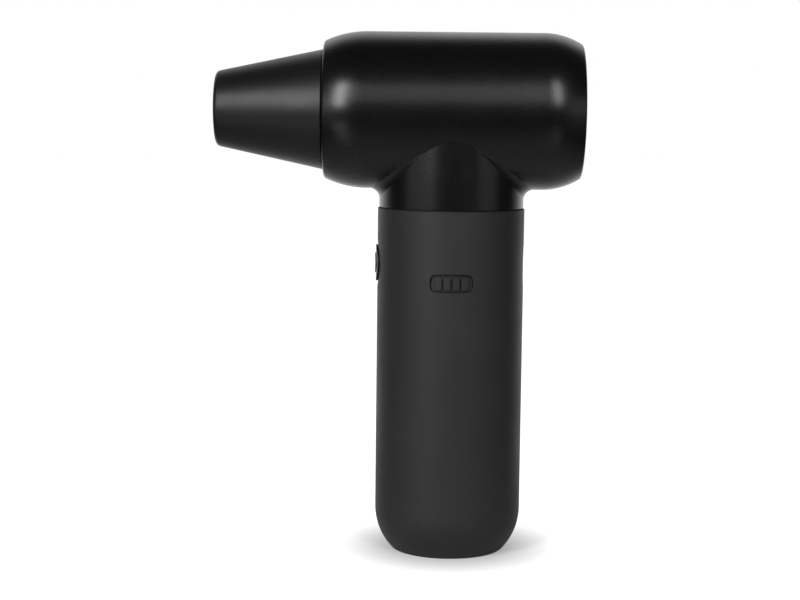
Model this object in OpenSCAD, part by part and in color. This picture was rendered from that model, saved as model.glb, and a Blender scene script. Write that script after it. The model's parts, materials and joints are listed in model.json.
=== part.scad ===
// Handheld turbo air blower for drying cars.
// A round barrel head with a pull-off nozzle sits across a round hand grip.
// The grip stands on its own flat base: z = 0 is that base, +Z is up,
// the nozzle points to -X, the battery gauge faces -Y and the charging port faces +X.

/* [Grip] */
// Outer diameter of the hand grip
grip_d = 48; // [47:0.5:60]
// Height of the grip sleeve from its base to its rim
grip_h = 112.9; // [111:0.1:145]
// Wall of the grip sleeve
grip_wall = 2.2; // [1.8:0.1:2.4]
// Floor of the grip sleeve
grip_floor = 2.6; // [1.8:0.1:4]
// Radius of the curve that draws the grip in towards its base
base_round_r = 19.5; // [18:0.5:22]
// Height at which that curve starts
base_round_h = 13.7; // [12:0.1:16]
// Radius of the edge round the flat base
base_corner_r = 0.8; // [0.5:0.1:4]
// Height of the dark seam between the grip and the neck
seam_gap = 0.5; // [0.3:0.1:1]

/* [Head] */
// How much wider the barrel is than the grip
head_over_grip = 2.8; // [2:0.1:14]
// Distance from the grip axis to the front face of the barrel
head_front = 41.8; // [39:0.1:52]
// Distance from the grip axis to the rear face of the barrel
head_rear = 41.9; // [41:0.1:54]
// Wall of the barrel and the neck
head_wall = 2.3; // [1.8:0.1:2.6]
// Radius of the curve that draws the barrel in towards its front
front_round_r = 32.5; // [28:0.5:36]
// Length of the barrel over which that curve runs
front_round_len = 14.2; // [13:0.1:16]
// Radius of the edge round the front face
front_corner_r = 1.4; // [0.8:0.1:2]
// Radius of the curve that draws the barrel in towards its rear
rear_round_r = 23.5; // [23:0.5:30]
// Length of the barrel over which that curve runs
rear_round_len = 12.7; // [12:0.1:14.5]
// Radius of the edge round the rear face
rear_corner_r = 1.2; // [0.8:0.1:1.6]
// How far the neck stands in from the grip all round
neck_inset = 0.4; // [0.2:0.1:1]
// Height of the neck from the seam to the underside of the barrel
neck_len = 5.8; // [5:0.1:12]
// Radius of the blend between the neck and the barrel
saddle_r = 3.6; // [2:0.1:5]
// Length of the neck plug that enters the grip
plug_len = 10; // [8:0.5:12]
// Wall of the neck plug
plug_wall = 2; // [1.6:0.1:2.4]

/* [Nozzle] */
// Length of the nozzle in front of the barrel
nozzle_len = 35.2; // [25:0.1:60]
// Diameter of the nozzle where it meets the barrel
nozzle_base_d = 39.1; // [38:0.1:41]
// Diameter of the nozzle at its tip
nozzle_tip_d = 24.1; // [23:0.1:30]
// Radius of the rolled lip at the tip
nozzle_lip_r = 1.8; // [1.2:0.1:2]
// Diameter of the outlet
mouth_d = 19.8; // [16:0.1:20]
// Straight length of bore behind the outlet
mouth_land = 5; // [3:0.5:12]
// Diameter of the nozzle plug that enters the head
nozzle_plug_d = 33.5; // [31:0.1:34]
// Length of the nozzle plug
nozzle_plug_len = 7.8; // [6:0.1:9]
// Wall of the nozzle plug
nozzle_plug_wall = 1.75; // [1.5:0.05:2.2]
// Thickness of the sealing ring on the nozzle plug
o_ring_d = 1.2; // [1:0.1:1.4]

/* [Fan] */
// Diameter over the tips of the impeller blades
fan_d = 38; // [31:0.2:38.6]
// Gap between the blade tips and the shroud
tip_gap = 0.4; // [0.3:0.05:0.8]
// Wall of the fan shroud
shroud_wall = 1.4; // [1:0.1:1.6]
// Diameter of the impeller hub and of the motor cup
hub_d = 19; // [18.6:0.1:23]
// Axial length of the impeller hub
hub_len = 12; // [10:0.5:13]
// Number of impeller blades
blade_count = 11; // [7:1:13]
// Angle that each impeller blade sweeps round the axis
blade_sweep = 38; // [20:1:48]
// Thickness of an impeller blade at its middle
blade_t = 1; // [0.7:0.1:1.4]
// Number of stator vanes
vane_count = 9; // [5:2:11]
// Thickness of a stator vane
vane_t = 1; // [0.8:0.1:1.5]
// Diameter of the rotor shaft
shaft_d = 3; // [2.5:0.1:3.2]
// Outer diameter of a ball bearing
bearing_d = 8; // [7.6:0.1:9]
// Width of a ball bearing
bearing_w = 3; // [2.5:0.1:3.2]
// Length of the motor cup
motor_len = 15.3; // [14.8:0.1:18]
// Length of the fan shroud
shroud_len = 43; // [40:0.5:46]
// Distance from the fan shroud to the intake grille
intake_gap = 5.4; // [2:0.1:8]
// Number of balls in a bearing
ball_count = 7; // [5:1:7]
// Width of a cell of the intake grille
grille_cell = 2.7; // [2.2:0.1:4]
// Width of a web between the cells
grille_web = 0.6; // [0.5:0.1:1]
// Thickness of the intake grille
grille_t = 1.4; // [1:0.1:2]

/* [Controls] */
// Distance from the neck plug down to the button housing
button_gap = 1.1; // [0.3:0.1:2]
// Outer diameter of the ring round the button
button_ring_d = 12; // [11:0.1:13]
// Diameter of the button cap
button_cap_d = 6.9; // [6:0.1:8]
// How far the ring stands out of the grip
button_ring_proud = 0.5; // [0.1:0.05:0.6]
// How far the cap stands out of the grip
button_cap_proud = 0.8; // [0.65:0.05:1]
// Travel of the button
button_travel = 0.6; // [0.3:0.05:0.6]
// Distance from the rim of the grip down to the middle of the gauge
gauge_drop = 22.6; // [21:0.1:24]
// Width of the gauge recess
gauge_w = 14.4; // [12.8:0.1:15]
// Height of the gauge recess
gauge_h = 5.9; // [5.6:0.1:7]
// Depth of the gauge recess
gauge_depth = 1; // [0.5:0.05:1.2]
// Number of bars in the gauge
bar_count = 4; // [3:1:4]
// Distance from one bar to the next
bar_pitch = 2.8; // [2.6:0.05:3.2]
// Width of a bar
bar_w = 2.05; // [1.6:0.05:2.2]
// Height of a bar
bar_h = 4.1; // [3:0.1:4.2]
// Distance from the neck plug down to the flange of the charging port
port_gap = 0.5; // [0.3:0.1:2]
// Height of the charging port pocket
port_h = 12.6; // [12:0.1:13.4]
// Width of the charging port pocket
port_w = 6.8; // [6.4:0.1:7.4]
// Depth of the charging port pocket
port_depth = 3.8; // [3.4:0.1:4.2]
// Wall of the charging port bezel
port_wall = 1.2; // [1:0.1:1.6]

/* [Battery] */
// Diameter of a battery cell
cell_d = 18.4; // [14.5:0.1:18.8]
// Length of a battery cell
cell_l = 65.2; // [50:0.1:66]
// Gap between neighbouring cells
cell_gap = 0.3; // [0.2:0.1:0.6]
// Height of the foot under the cells
cell_foot = 5.4; // [5:0.1:7]
// Thickness of a nickel link
link_t = 0.3; // [0.2:0.05:0.4]

/* [Electronics] */
// Thickness of the main board
board_t = 1.6; // [1:0.1:2]
// Distance from the wall of the grip to each side edge of the main board
board_inset = 5.3; // [5:0.1:5.6]
// Height of the main board
board_l = 27.5; // [22.5:0.5:29]
// Diameter of a motor lead
lead_d = 1.2; // [0.8:0.1:1.5]

/* [Fits] */
// Gap between parts that are pressed or glued together
fit = 0.05; // [0.02:0.01:0.1]
// Gap between parts that slide in or over one another
slide = 0.1; // [0.05:0.01:0.15]
// Gap that a loosely seated part is given
loose = 0.25; // [0.15:0.05:0.3]

/* [Hidden] */
$fn = 96;

// Colours
shell_black = [0.07, 0.07, 0.075];
grip_grey = [0.17, 0.17, 0.175];
gloss_black = [0.03, 0.03, 0.03];
rubber_black = [0.09, 0.09, 0.09];
frame_grey = [0.35, 0.36, 0.38];
board_green = [0.05, 0.3, 0.16];
steel = [0.7, 0.71, 0.73];
copper = [0.72, 0.42, 0.2];
cell_blue = [0.12, 0.3, 0.6];
nickel = [0.78, 0.76, 0.7];

// Small shared sizes
over = 1;              // how far a cutter runs past what it cuts
arc_steps = 16;        // steps along a drawn arc
bite = 0.06;           // how deep the saddle blend is sunk into both surfaces
third_turns = [90, 210, 330];

// Grip
grip_r = grip_d / 2;
grip_in_r = grip_r - grip_wall;
seam_z = grip_h + seam_gap;

// Head
head_r = grip_r + head_over_grip / 2;
neck_r = grip_r - neck_inset;
neck_in_r = neck_r - head_wall;
axis_z = seam_z + neck_len + head_r;
cavity_r = head_r - head_wall;
plug_r = grip_in_r - slide;
plug_in_r = plug_r - plug_wall;
plug_z = grip_h - plug_len;
plug_root = 2.5;       // how far the plug is rooted inside the neck
plug_lead_in = 0.6;    // chamfer on the lower edge of the plug
bead_h = 0.4;          // height of the snap bead on the neck plug
bead_w = 1.6;          // width of the snap bead
bead_z = plug_z + 4;

// Fan and motor: radii
fan_r = fan_d / 2;
duct_r = fan_r + tip_gap;
shroud_r = duct_r + shroud_wall;
bell_r = 1.6;          // radius of the bell mouth
bell_over = 1.3;       // how far the bell mouth stands out of the shroud
bell_t = 1.4;
hub_r = hub_d / 2;
shaft_r = shaft_d / 2;
bearing_r = bearing_d / 2;
cup_wall = 1.3;
cup_in_r = hub_r - cup_wall;
seat_r = bearing_r - 0.6;
magnet_r = 3.55;
core_bore_r = magnet_r + 0.4;
nut_r = 4.2;

// Intake, behind the fan
opening_r = shroud_r - 1.2;
cover_r = opening_r - slide;
cover_in_r = cover_r - 1.4;
cover_set_in = 0.4;
cover_len = 5.2;
grille_r = cover_r - 0.6;
grille_rim = 1.6;
grille_x = head_rear - cover_set_in - cover_len;

// Fan and motor: places along the barrel axis, from the intake forwards
shroud_rear = grille_x - intake_gap;
shroud_front = shroud_rear - shroud_len;
nose_len = 5;
hub_rear = shroud_rear - nose_len - 0.5;
hub_front = hub_rear - hub_len;
rotor_gap = 1.2;       // gap between the impeller hub and the motor cup
cup_rear = hub_front - rotor_gap;
cup_front = cup_rear - motor_len;
seat_t = 0.4;          // wall behind a bearing
rear_bearing_x = cup_rear - bearing_w - 0.3;
end_cap_front = cup_front + 1.8;
front_bearing_x = end_cap_front + 0.2;
end_cap_rear = front_bearing_x + bearing_w + 0.2;
coil_over = 1;         // how far a winding stands past each end of the core
coil_t = 0.9;
core_front = end_cap_rear + coil_over + seat_t;
core_rear = rear_bearing_x - seat_t - coil_over - 0.3;
tooth_count = 3;
tooth_w = 2.2;
shoe_angle = 96;
shoe_t = 0.6;
yoke_t = 1.5;
tail_len = 19;
tail_wall = 1.1;
tail_tip_r = 2.4;
race_t = (bearing_r - shaft_r) * 0.34;
ball_ring_r = (bearing_r + shaft_r) / 2;
ball_r = (bearing_r - shaft_r) * 0.25;

// Rubber mounts and the ribs beside them
ring_w = 4.6;
front_ring_x = shroud_front + 9.1;
rear_ring_x = shroud_rear - 8.6;
rib_t = 1.2;
rib_h = 1.4;

// Motor leads
lead_r = lead_d / 2;
lead_x = cup_front - 3.2;
lead_pitch = lead_d + 0.5;
lead_drop = 4.6;       // how far below the axis the leads leave the motor
lead_bend = 1.6;
lead_slot_w = 2 * lead_pitch + lead_d + 1;
lead_slot_l = lead_d + 1;
lead_hole_r = 4;

// Outlet
plug_nozzle_r = nozzle_plug_d / 2;
collar_in_r = plug_nozzle_r + slide;
collar_r = collar_in_r + 1.35;
collar_set_in = 0.2;
collar_flange_r = head_r - front_round_r - slide
    + sqrt(pow(front_round_r - head_wall, 2) - pow(front_round_len - head_wall, 2));
collar_flange_t = 1.6;
collar_rear = -head_front + nozzle_plug_len + 3.2;
throat_r = plug_nozzle_r - nozzle_plug_wall;
throat_x = -head_front - 3;
duct_end = -head_front + nozzle_plug_len + 0.5;
duct_wall = 1.3;
lap_len = 4;
lap_t = 1.1;
groove_x = -head_front + nozzle_plug_len - 2.6;
seal_gap = 0.02;
nozzle_stand = 0.15;   // gap between the nozzle shoulder and the barrel

// Button
ring_r = button_ring_d / 2;
ring_flange = 1;       // flange of the button housing, inside the grip
ring_flange_t = 0.8;
scoop_w = 1.5;         // width of the scooped edge round the button
scoop_depth = 0.8;
scoop_reach = 1.5;     // length of the scoop's cutter over its depth
button_z = plug_z - button_gap - ring_r - ring_flange;
cap_r = button_cap_d / 2;
cap_face_x = grip_r + button_cap_proud;
cap_flange_r = cap_r + 0.9;
cap_flange_t = 0.8;
cap_t = 2.2;
cap_edge_r = 0.5;
cap_crown = 0.05;      // height of the turned cap above the curved face cut from it
plunger_r = 0.9;
plunger_depth = 1.2;
switch_l = 6;
switch_w = 3.5;
switch_t = 3.5;
switch_face_x = grip_in_r - 5.2;

// Gauge
gauge_z = grip_h - gauge_drop;
gauge_floor_r = grip_r - gauge_depth;
gauge_corner_r = 1.6;
bar_corner_r = 0.6;
bar_sunk = 0.15;       // how far the bars stay below the surface of the grip
gauge_flare = 0.3;     // how much the recess widens at each side per millimetre
gauge_cut_l = 2.6;     // length of its cutter
lens_rim = 0.5;        // how far the light guide reaches past the recess at each side
lens_t = 1;
lens_y = sqrt(pow(grip_in_r, 2) - pow(gauge_w / 2 + lens_rim, 2)) - fit;
led_t = 0.6;
led_w = 1.6;
led_h = 0.8;
gauge_board_y = lens_y - lens_t - slide - led_t;
gauge_board_t = 1;
gauge_board_side = 2.7;
gauge_lead_drop = 2;

// Charging port
port_flange = 0.6;
port_z = plug_z - port_gap - port_h / 2 - port_wall - port_flange;
port_floor_x = grip_r - port_depth;
port_floor_t = 0.8;
socket_w = 8.94;
socket_h = 3.26;
socket_wall = 0.3;
socket_len = 7.4;
socket_back = 1.2;
socket_x = port_floor_x - socket_len;
tongue_w = 6.6;
tongue_t = 0.7;
tongue_len = 5.6;

// Battery pack
cell_r = cell_d / 2;
cell_ring_r = (cell_r + cell_gap / 2) / sin(60);
cell_z = grip_floor + cell_foot;
cell_top = cell_z + cell_l;
can_top = cell_top - 0.4;      // end of the can, below the cell's contact
can_bead = 0.4;                // depth of the bead rolled into the can
holder_t = 1.5;
holder_lap = 4;
holder_wall = 0.9;
holder_r = cell_ring_r + cell_r + holder_wall;
holder_top = cell_top + link_t + holder_t;
hole_r = cell_ring_r - 2.4;    // hole between the cells
foot_r = cell_ring_r + 3.2;
foot_t = 2;
link_r = 2.6;
link_w = 4;

// Chassis
chassis_r = grip_in_r - 0.6;
chassis_wall = 1.6;
chassis_top = plug_z - loose;
skirt_w = 6.95;
pack_board_r = chassis_r - skirt_w - loose;
pack_board_t = 1.2;
pack_board_top = holder_top + pack_board_t;
pack_screw_r = chassis_r - skirt_w / 2;
disc_z = pack_board_top + 1.3;
disc_t = 1.5;
disc_top = disc_z + disc_t;
web_y = 4;
arc_y = web_y + 3;
cheek_x = sqrt(pow(chassis_r - chassis_wall, 2) - pow(arc_y, 2)) - 0.5;
cheek_len = 5;
post_w = 2.4;
lead_pair_x = 4;               // half the distance between the battery leads
battery_lead_r = 1;

// Main board
board_w = 2 * (grip_in_r - board_inset);
board_top = grip_h - 3;
board_z = board_top - board_l;
boss_r = 2;
boss_x = board_w / 2 - 6.5;
boss_zs = [board_z + 2.6, chassis_top - 2.8];
boss_root = 0.4;
screw_r = 0.9;
screw_head_r = 1.7;
screw_head_t = 1;
connector_w = 6.4;
connector_l = 5;
connector_h = 4;

// ---------------------------------------------------------------- helpers

// Points of an arc about c, from angle a0 to angle a1
function arc_points(c, r, a0, a1, n = arc_steps) =
    [for (i = [0:n]) c + r * [cos(a0 + (a1 - a0) * i / n), sin(a0 + (a1 - a0) * i / n)]];

// Centre of the small edge round at a rounded end, as [radius, distance from the face]
function corner_centre(r, round_r, round_len, corner_r) =
    [r - round_r + sqrt(pow(round_r - corner_r, 2) - pow(round_len - corner_r, 2)), corner_r];

// Profile of a rounded end as [radius, distance in from the face], from the side to the face
function end_points(r, round_r, round_len, corner_r) =
    let (
        centre = [r - round_r, round_len],
        corner = corner_centre(r, round_r, round_len, corner_r),
        turn = atan2(corner[1] - centre[1], corner[0] - centre[0])
    )
    concat(
        arc_points(centre, round_r, 0, turn),
        arc_points(corner, corner_r, turn, -90, arc_steps / 2)
    );

// The same profile moved in by a wall and cut off at a depth behind the face
function inner_end_points(r, round_r, round_len, wall, depth) =
    let (
        centre = [r - round_r, round_len],
        turn = asin((depth - round_len) / (round_r - wall))
    )
    arc_points(centre, round_r - wall, 0, turn);

// Puts [radius, distance] points on an axis that starts at a face and runs in direction s
function placed(points, face, s) = [for (p = points) [p[0], face + s * p[1]]];

function reversed(list) = [for (i = [len(list) - 1:-1:0]) list[i]];

// A smooth step from 0 to 1
function ease(t) = (1 - cos(180 * t)) / 2;

// Faces of a closed ring of n sections with m points each
function ring_faces(n, m) = [
    for (i = [0:n - 1], k = [0:m - 1])
        for (f = [
            [i * m + k, i * m + (k + 1) % m, ((i + 1) % n) * m + k],
            [i * m + (k + 1) % m, ((i + 1) % n) * m + (k + 1) % m, ((i + 1) % n) * m + k]
        ]) f
];

// Faces of a loft of n sections with m points each, closed by flat fans at both ends
function loft_faces(n, m) = concat(
    [
        for (i = [0:n - 2], k = [0:m - 1])
            for (f = [
                [i * m + k, i * m + (k + 1) % m, (i + 1) * m + k],
                [i * m + (k + 1) % m, (i + 1) * m + (k + 1) % m, (i + 1) * m + k]
            ]) f
    ],
    [for (k = [1:m - 2]) [0, k + 1, k]],
    [for (k = [1:m - 2]) [(n - 1) * m, (n - 1) * m + k, (n - 1) * m + k + 1]]
);

// Puts children on the barrel axis: their z runs along +X
module on_axis() {
    translate([0, 0, axis_z])
        rotate([0, 90, 0])
            children();
}

// Puts children with their z along +X at a height on the grip axis
module at_rear(z) {
    translate([0, 0, z])
        rotate([0, 90, 0])
            children();
}

// Puts children with their z along -X at a height on the grip axis
module at_front(z) {
    translate([0, 0, z])
        rotate([0, -90, 0])
            children();
}

// Puts children with their z along -Y at a height on the grip axis, x staying x
module at_side(z) {
    translate([0, 0, z])
        rotate([90, 0, 0])
            children();
}

// A ring turned about z
module ring(r_in, r_out, z0, z1) {
    rotate_extrude()
        translate([r_in, z0])
            square([r_out - r_in, z1 - z0]);
}

// A rod on z
module rod(r, z0, z1) {
    translate([0, 0, z0])
        cylinder(r = r, h = z1 - z0);
}

// Outline with round ends: w along x, h along y
module stadium(w, h) {
    square([w - h, h], center = true);
    for (s = [-1, 1])
        translate([s * (w - h) / 2, 0])
            circle(r = h / 2);
}

// Rectangle with rounded corners
module soft_rect(w, h, r) {
    square([w - 2 * r, h], center = true);
    square([w, h - 2 * r], center = true);
    for (sx = [-1, 1], sy = [-1, 1])
        translate([sx * (w / 2 - r), sy * (h / 2 - r)])
            circle(r = r);
}

// ---------------------------------------------------------------- head

// Outer form of the barrel
module barrel_form() {
    rotate_extrude()
        polygon(concat(
            [[0, -head_front]],
            reversed(placed(end_points(head_r, front_round_r, front_round_len, front_corner_r),
                -head_front, 1)),
            placed(end_points(head_r, rear_round_r, rear_round_len, rear_corner_r),
                head_rear, -1),
            [[0, head_rear]]
        ));
}

// Hollow inside the barrel
module barrel_hollow() {
    front = placed(inner_end_points(head_r, front_round_r, front_round_len, head_wall,
        head_wall), -head_front, 1);
    rear = placed(inner_end_points(head_r, rear_round_r, rear_round_len, head_wall,
        head_wall), head_rear, -1);
    rotate_extrude()
        polygon(concat(
            [[0, -head_front + head_wall]],
            reversed(front),
            rear,
            [[0, head_rear - head_wall]]
        ));
}

// One section of the saddle blend at an angle round the neck
function saddle_section(a) =
    let (
        b = neck_r + saddle_r - bite,
        h = head_r + saddle_r - bite,
        c = [b * cos(a), b * sin(a), -sqrt(h * h - pow(b * sin(a), 2))],
        to_neck = [-cos(a), -sin(a), 0],
        to_barrel = [0, -c[1] / h, -c[2] / h],
        turn = acos(to_neck * to_barrel),
        deep = saddle_r + head_wall / 2
    )
    concat(
        [for (i = [0:8]) c + saddle_r
            * (sin(turn * (1 - i / 8)) * to_neck + sin(turn * i / 8) * to_barrel) / sin(turn)],
        [
            c + deep * to_barrel,
            c + deep * (to_neck + to_barrel) / (1 + to_neck * to_barrel),
            c + deep * to_neck
        ]
    );

// Rolling-ball blend between the neck and the barrel
module saddle_blend() {
    sections = 96;
    points = [for (i = [0:sections - 1]) for (p = saddle_section(360 * i / sections)) p];
    translate([0, 0, axis_z])
        polyhedron(points = points, faces = ring_faces(sections, 12), convexity = 4);
}

// Ring-shaped rib inside the barrel that a rubber mount sits against
module mount_rib(x) {
    ring(cavity_r - rib_h, cavity_r + head_wall / 2, x, x + rib_t);
}

module head_housing() {
    color(shell_black) {
        difference() {
            union() {
                on_axis() barrel_form();
                rod(neck_r, seam_z, axis_z);
                saddle_blend();
            }
            on_axis() barrel_hollow();
            on_axis() rod(opening_r, head_rear - head_wall - over, head_rear + over);
            on_axis() rod(collar_r + fit, -head_front - over, -head_front + head_wall + over);
            difference() {
                rod(neck_in_r, seam_z - over, axis_z);
                on_axis() rod(head_r, -head_front, head_rear);
            }
            translate([lead_x, 0, 0])
                rod(lead_hole_r, axis_z - head_r - over, axis_z - cavity_r + over);
        }
        on_axis() {
            for (x = [front_ring_x, rear_ring_x]) {
                mount_rib(x - rib_t);
                mount_rib(x + ring_w);
            }
        }
        rotate_extrude()
            polygon([
                [plug_in_r, plug_z],
                [plug_r - plug_lead_in, plug_z],
                [plug_r, plug_z + plug_lead_in],
                [plug_r, bead_z - bead_w / 2],
                [plug_r + bead_h, bead_z - bead_w / 6],
                [plug_r + bead_h, bead_z + bead_w / 6],
                [plug_r, bead_z + bead_w / 2],
                [plug_r, seam_z],
                [neck_r - head_wall / 2, seam_z],
                [neck_r - head_wall / 2, seam_z + plug_root],
                [plug_in_r, seam_z + plug_root]
            ]);
    }
}

module front_collar() {
    color(frame_grey)
        on_axis() {
            ring(collar_in_r, collar_r, -head_front + collar_set_in, collar_rear);
            ring(collar_r - over / 2, collar_flange_r, -head_front + head_wall,
                -head_front + head_wall + collar_flange_t);
        }
}

module rear_cover() {
    color(shell_black)
        on_axis()
            rotate_extrude()
                polygon([
                    [grille_r + fit, grille_x],
                    [cover_r, grille_x],
                    [cover_r, head_rear - cover_set_in],
                    [cover_in_r + 1, head_rear - cover_set_in],
                    [cover_in_r + 0.3, head_rear - cover_set_in - 0.5],
                    [cover_in_r, head_rear - cover_set_in - 1.2],
                    [cover_in_r, grille_x + grille_t + fit],
                    [grille_r + fit, grille_x + grille_t + fit]
                ]);
}

// Honeycomb plate behind the rear opening
module intake_grille() {
    pitch = grille_cell + grille_web;
    reach = grille_r - grille_cell / 2 - grille_rim;
    rows = ceil(reach / (pitch * sin(60)));
    color(gloss_black)
        on_axis()
            translate([0, 0, grille_x])
                linear_extrude(grille_t)
                    difference() {
                        circle(r = grille_r);
                        for (j = [-rows:rows], i = [-rows - 3:rows + 3]) {
                            at = [(i + (j % 2 == 0 ? 0 : 0.5)) * pitch, j * pitch * sin(60)];
                            if (norm(at) < reach)
                                translate(at)
                                    rotate(30)
                                        circle(d = grille_cell / cos(30), $fn = 6);
                        }
                    }
}

// Duct that narrows from the fan to the nozzle
module outlet_duct() {
    steps = 14;
    start = shroud_front - fit;
    stop = collar_rear + 0.8;
    inner = [for (i = [0:steps]) [
        duct_r + (throat_r - duct_r) * ease(i / steps),
        start + (stop - start) * i / steps
    ]];
    outer = [for (i = [2:steps]) [
        inner[i][0] + duct_wall + 0.1 * i / steps,
        inner[i][1]
    ]];
    sleeve_r = collar_in_r - fit;
    color(frame_grey)
        on_axis()
            rotate_extrude()
                polygon(concat(
                    inner,
                    [[throat_r, duct_end], [sleeve_r, duct_end], [sleeve_r, stop]],
                    reversed(outer),
                    [
                        [shroud_r + fit + lap_t, inner[1][1]],
                        [shroud_r + fit + lap_t, shroud_front + lap_len],
                        [shroud_r + fit, shroud_front + lap_len],
                        [shroud_r + fit, start]
                    ]
                ));
}

// ---------------------------------------------------------------- fan and motor

// Outline of a stator vane: tangential position against axial position
function vane_points(front, rear) =
    let (
        n = 8,
        mid = [for (i = [0:n]) [4.2 * pow(i / n, 2), front + (rear - front) * i / n]]
    )
    concat(
        [for (i = [0:n]) mid[i] + [vane_t * (0.25 + 0.75 * sin(180 * i / n)) / 2, 0]],
        [for (i = [n:-1:0]) mid[i] - [vane_t * (0.25 + 0.75 * sin(180 * i / n)) / 2, 0]]
    );

module fan_shroud() {
    vane_front = cup_front + 1;
    vane_rear = cup_rear - 2;
    color(frame_grey)
        on_axis()
            difference() {
                union() {
                    // tube with a bell mouth towards the intake
                    rotate_extrude()
                        polygon(concat(
                            [
                                [duct_r, shroud_front],
                                [shroud_r, shroud_front],
                                [shroud_r, shroud_rear - bell_t],
                                [shroud_r + bell_over, shroud_rear - bell_t],
                                [shroud_r + bell_over, shroud_rear]
                            ],
                            arc_points([duct_r + bell_r, shroud_rear - bell_r], bell_r,
                                90, 180, 6)
                        ));
                    // motor cup with the seat of the rear bearing
                    rotate_extrude()
                        polygon([
                            [cup_in_r, cup_front],
                            [hub_r, cup_front],
                            [hub_r, cup_rear - 0.8],
                            [hub_r - 0.8, cup_rear],
                            [bearing_r + fit / 2, cup_rear],
                            [bearing_r + fit / 2, rear_bearing_x],
                            [seat_r, rear_bearing_x],
                            [seat_r, rear_bearing_x - seat_t],
                            [cup_in_r, rear_bearing_x - seat_t]
                        ]);
                    intersection() {
                        ring(hub_r - 0.5, duct_r + 0.5, vane_front, vane_rear);
                        for (i = [0:vane_count - 1])
                            rotate(360 * (i + 0.5) / vane_count)
                                translate([hub_r - over, 0, 0])
                                    rotate([90, 0, 90])
                                        linear_extrude(duct_r - hub_r + 2 * over)
                                            polygon(vane_points(vane_front, vane_rear));
                    }
                }
                // window that the motor leads leave through
                lead_slot(duct_r - over, shroud_wall + 2 * over);
            }
}

// Slot for the motor leads, from a radius outwards on the side of the grip
module lead_slot(r, depth) {
    translate([r, -lead_slot_w / 2, lead_x - lead_slot_l / 2])
        cube([depth, lead_slot_w, lead_slot_l]);
}

// Rubber ring between the shroud and the barrel
module mount_ring(x) {
    color(rubber_black)
        on_axis()
            rotate_extrude()
                difference() {
                    translate([shroud_r + fit / 2, x + fit])
                        square([cavity_r - shroud_r - fit, ring_w - 2 * fit]);
                    for (s = [0.3, 0.7])
                        translate([cavity_r - fit / 2, x + ring_w * s])
                            circle(r = 0.6);
                }
}

module mount_ring_front() {
    mount_ring(front_ring_x);
}

module mount_ring_rear() {
    mount_ring(rear_ring_x);
}

// Hollow cone that closes the motor cup towards the outlet
module tail_cone() {
    steps = 12;
    tip = cup_front - tail_len;
    core_r = 0.8;
    spigot_t = 0.9;
    outer = [for (i = [0:steps]) [
        tail_tip_r + (hub_r - tail_tip_r) * pow(cos(90 * i / steps), 0.8),
        cup_front - tail_len * i / steps
    ]];
    inner = [for (i = [0:steps - 1]) [
        max(outer[i][0] - tail_wall, core_r),
        outer[i][1]
    ]];
    color(frame_grey)
        on_axis()
            difference() {
                rotate_extrude()
                    polygon(concat(
                        outer,
                        [[0, tip], [0, tip + tail_wall], [core_r, tip + tail_wall]],
                        reversed(inner),
                        [
                            [cup_in_r - spigot_t, cup_front],
                            [cup_in_r - spigot_t, end_cap_front - slide],
                            [cup_in_r - fit, end_cap_front - slide],
                            [cup_in_r - fit, cup_front]
                        ]
                    ));
                lead_slot(0, hub_r + over);
            }
}

module motor_end_cap() {
    color(frame_grey)
        on_axis()
            difference() {
                rotate_extrude()
                    polygon([
                        [seat_r, end_cap_front],
                        [cup_in_r - fit, end_cap_front],
                        [cup_in_r - fit, end_cap_rear],
                        [bearing_r + fit / 2, end_cap_rear],
                        [bearing_r + fit / 2, front_bearing_x],
                        [seat_r, front_bearing_x]
                    ]);
                // three round vents
                for (a = [60, 180, 300])
                    rotate(a)
                        translate([(bearing_r + cup_in_r) / 2, 0, end_cap_front - over])
                            cylinder(r = 0.8, h = end_cap_rear - end_cap_front + 2 * over);
            }
}

module stator_core() {
    color(steel)
        on_axis()
            union() {
                ring(cup_in_r - fit - yoke_t, cup_in_r - fit, core_front, core_rear);
                for (i = [0:tooth_count - 1])
                    rotate(360 * i / tooth_count) {
                        translate([core_bore_r + shoe_t / 2, -tooth_w / 2, core_front])
                            cube([cup_in_r - yoke_t - core_bore_r, tooth_w,
                                core_rear - core_front]);
                        // pole shoe
                        translate([0, 0, core_front])
                            rotate(-shoe_angle / 2)
                                rotate_extrude(angle = shoe_angle)
                                    translate([core_bore_r, 0])
                                        square([shoe_t, core_rear - core_front]);
                    }
            }
}

module stator_windings() {
    inner = core_bore_r + shoe_t + fit;
    outer = sqrt(pow(cup_in_r - fit - yoke_t, 2) - pow(tooth_w / 2 + coil_t, 2)) - fit;
    color(copper)
        on_axis()
            for (i = [0:tooth_count - 1])
                rotate(360 * i / tooth_count)
                    difference() {
                        translate([inner, -tooth_w / 2 - coil_t, core_front - coil_over])
                            cube([outer - inner, tooth_w + 2 * coil_t,
                                core_rear - core_front + 2 * coil_over]);
                        translate([inner - over, -tooth_w / 2 - fit, core_front - fit])
                            cube([outer - inner + 2 * over, tooth_w + 2 * fit,
                                core_rear - core_front + 2 * fit]);
                    }
}

module bearing_outer_races() {
    color(steel)
        on_axis()
            for (x = [front_bearing_x, rear_bearing_x])
                rotate_extrude()
                    difference() {
                        translate([bearing_r - race_t, x])
                            square([race_t, bearing_w]);
                        translate([ball_ring_r, x + bearing_w / 2])
                            circle(r = ball_r + fit / 2);
                    }
}

module bearing_inner_races() {
    color(steel)
        on_axis()
            for (x = [front_bearing_x, rear_bearing_x])
                rotate_extrude()
                    difference() {
                        translate([shaft_r + fit / 2, x])
                            square([race_t - fit / 2, bearing_w]);
                        translate([ball_ring_r, x + bearing_w / 2])
                            circle(r = ball_r + fit / 2);
                    }
}

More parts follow.
